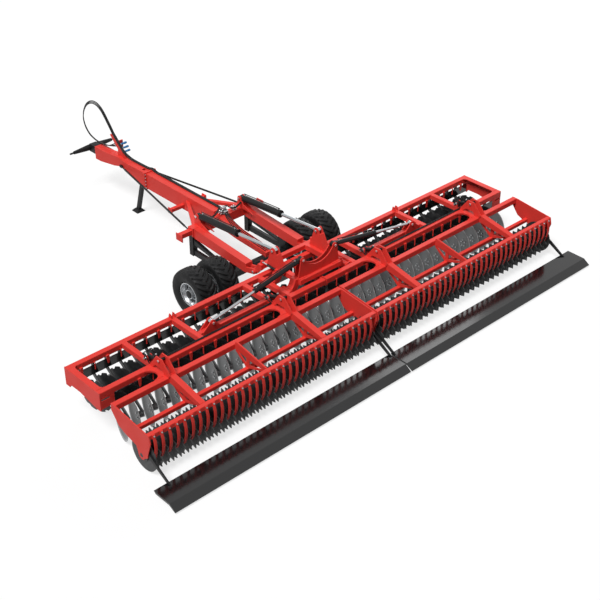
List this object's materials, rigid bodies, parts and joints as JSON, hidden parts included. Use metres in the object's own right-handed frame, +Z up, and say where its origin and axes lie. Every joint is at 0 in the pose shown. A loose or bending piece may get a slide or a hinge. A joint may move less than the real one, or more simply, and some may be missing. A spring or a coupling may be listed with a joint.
{
  "type": "trailed folding disc harrow",
  "caption": "Wide red trailed disc harrow with two folding wings, dished discs, a toothed packer with scrapers, a drag board, a long drawbar and twin transport wheels.",
  "frame": {"origin": "on the ground under the middle of the machine", "axes": "X to the right, Y forward along travel, Z up"},
  "size_m": [9.62, 9.1026, 1.9447],
  "materials": {
    "red_paint": "gloss",
    "black_paint": "satin",
    "black_plate": "satin",
    "silver_paint": "satin",
    "disc_steel": "satin",
    "packer_iron": "matte",
    "chrome": "polished",
    "plated_steel": "satin",
    "tyre_rubber": "matte",
    "hose_rubber": "matte"
  },
  "bodies": {
    "chassis": {"drawbar": "red_paint", "hitch_bar": "black_paint", "hose_post": "red_paint", "main_beams": "red_paint", "chassis_cross": "red_paint", "wing_rests": "red_paint", "axle": "black_paint", "axle_hangers": "black_paint", "axle_posts": "black_paint", "axle_arms": "black_paint", "hose_run": "hose_rubber", "stays": "black_paint", "valve_block": "black_paint", "hose_loop_1": "hose_rubber", "hose_loop_2": "hose_rubber", "hose_loop_3": "hose_rubber"},
    "parking_leg": {"jack_leg": "black_paint"},
    "carrier": {"carrier": "red_paint"},
    "wing_left": {"wing_beams_left": "red_paint", "wing_crossbars_left": "red_paint", "fold_beams_left": "red_paint", "wing_towers_left": "red_paint", "board_brackets_left": "red_paint", "depth_cylinders_left": "black_paint", "soil_boards_left": "black_plate", "front_discs_left": "disc_steel", "rear_discs_left": "disc_steel", "scraper_beams_left": "red_paint", "scraper_bars_left": "red_paint", "drag_board_left": "black_plate", "board_arms_left": "black_paint"},
    "roller_left": {"packer_left": "packer_iron"},
    "wheels_left": {"tyres_left": "tyre_rubber", "rims_left": "silver_paint"},
    "lift_barrel_left_body": {"lift_barrel_left": "black_paint"},
    "lift_rod_left_body": {"lift_rod_left": "chrome"},
    "fold_barrel_left_body": {"fold_barrel_left": "black_paint"},
    "fold_rod_left_body": {"fold_rod_left": "chrome"},
    "wing_right": {"wing_beams_right": "red_paint", "wing_crossbars_right": "red_paint", "fold_beams_right": "red_paint", "wing_towers_right": "red_paint", "board_brackets_right": "red_paint", "depth_cylinders_right": "black_paint", "soil_boards_right": "black_plate", "front_discs_right": "disc_steel", "rear_discs_right": "disc_steel", "scraper_beams_right": "red_paint", "scraper_bars_right": "red_paint", "drag_board_right": "black_plate", "board_arms_right": "black_paint"},
    "roller_right": {"packer_right": "packer_iron"},
    "wheels_right": {"tyres_right": "tyre_rubber", "rims_right": "silver_paint"},
    "lift_barrel_right_body": {"lift_barrel_right": "black_paint"},
    "lift_rod_right_body": {"lift_rod_right": "chrome"},
    "fold_barrel_right_body": {"fold_barrel_right": "black_paint"},
    "fold_rod_right_body": {"fold_rod_right": "chrome"}
  },
  "joints": [
    {"name": "frame_tilt", "type": "hinge", "parent": "chassis", "child": "carrier", "pos_m": [0, -1.3415, 0.8], "axis": [-1, 0, 0], "range_deg": [0, 90]},
    {"name": "leg_slide", "type": "slide", "parent": "chassis", "child": "parking_leg", "axis": [0, -0.2924, 0.9563], "range_m": [0, 0.3]},
    {"name": "fold_left", "type": "hinge", "parent": "carrier", "child": "wing_left", "pos_m": [-0.66, -1.9715, 0.8], "axis": [0, 1, 0], "range_deg": [0, 90]},
    {"name": "roller_spin_left", "type": "hinge", "parent": "wing_left", "child": "roller_left", "pos_m": [-2.3, -3.4005, 0.307], "axis": [1, 0, 0], "continuous": true},
    {"name": "wheel_spin_left", "type": "hinge", "parent": "chassis", "child": "wheels_left", "pos_m": [-1.223, -0.7235, 0.45], "axis": [1, 0, 0], "continuous": true},
    {"name": "lift_pivot_left", "type": "hinge", "parent": "chassis", "child": "lift_barrel_left_body", "pos_m": [-0.5, 0.3265, 1.143], "axis": [1, 0, 0], "range_deg": [0, 3.79]},
    {"name": "lift_stroke_left", "type": "slide", "parent": "lift_barrel_left_body", "child": "lift_rod_left_body", "axis": [0, -0.9963, 0.086], "range_m": [-0.8993, 0]},
    {"name": "fold_pivot_left", "type": "hinge", "parent": "carrier", "child": "fold_barrel_left_body", "pos_m": [-0.368, -2.2015, 1.304], "axis": [0, 1, 0], "range_deg": [0, 93.75]},
    {"name": "fold_stroke_left", "type": "slide", "parent": "fold_barrel_left_body", "child": "fold_rod_left_body", "axis": [-0.9844, 0, -0.1757], "range_m": [-0.8218, 0]},
    {"name": "fold_right", "type": "hinge", "parent": "carrier", "child": "wing_right", "pos_m": [0.66, -1.9715, 0.8], "axis": [0, -1, 0], "range_deg": [0, 90]},
    {"name": "roller_spin_right", "type": "hinge", "parent": "wing_right", "child": "roller_right", "pos_m": [2.3, -3.4005, 0.307], "axis": [1, 0, 0], "continuous": true},
    {"name": "wheel_spin_right", "type": "hinge", "parent": "chassis", "child": "wheels_right", "pos_m": [1.223, -0.7235, 0.45], "axis": [1, 0, 0], "continuous": true},
    {"name": "lift_pivot_right", "type": "hinge", "parent": "chassis", "child": "lift_barrel_right_body", "pos_m": [0.5, 0.3265, 1.143], "axis": [1, 0, 0], "range_deg": [0, 3.79]},
    {"name": "lift_stroke_right", "type": "slide", "parent": "lift_barrel_right_body", "child": "lift_rod_right_body", "axis": [0, -0.9963, 0.086], "range_m": [-0.8993, 0]},
    {"name": "fold_pivot_right", "type": "hinge", "parent": "carrier", "child": "fold_barrel_right_body", "pos_m": [0.368, -2.2015, 1.304], "axis": [0, -1, 0], "range_deg": [0, 93.75]},
    {"name": "fold_stroke_right", "type": "slide", "parent": "fold_barrel_right_body", "child": "fold_rod_right_body", "axis": [0.9844, 0, -0.1757], "range_m": [-0.8218, 0]}
  ],
  "couplings": [
    {"joint": "lift_pivot_left", "follows": "frame_tilt", "ratio": 0.039885},
    {"joint": "lift_stroke_left", "follows": "frame_tilt", "m_per_rad": -0.57058},
    {"joint": "fold_pivot_left", "follows": "fold_left", "ratio": 1.0383},
    {"joint": "fold_stroke_left", "follows": "fold_left", "m_per_rad": -0.52126},
    {"joint": "lift_pivot_right", "follows": "frame_tilt", "ratio": 0.039885},
    {"joint": "lift_stroke_right", "follows": "frame_tilt", "m_per_rad": -0.57058},
    {"joint": "fold_pivot_right", "follows": "fold_right", "ratio": 1.0383},
    {"joint": "fold_stroke_right", "follows": "fold_right", "m_per_rad": -0.52126}
  ]
}
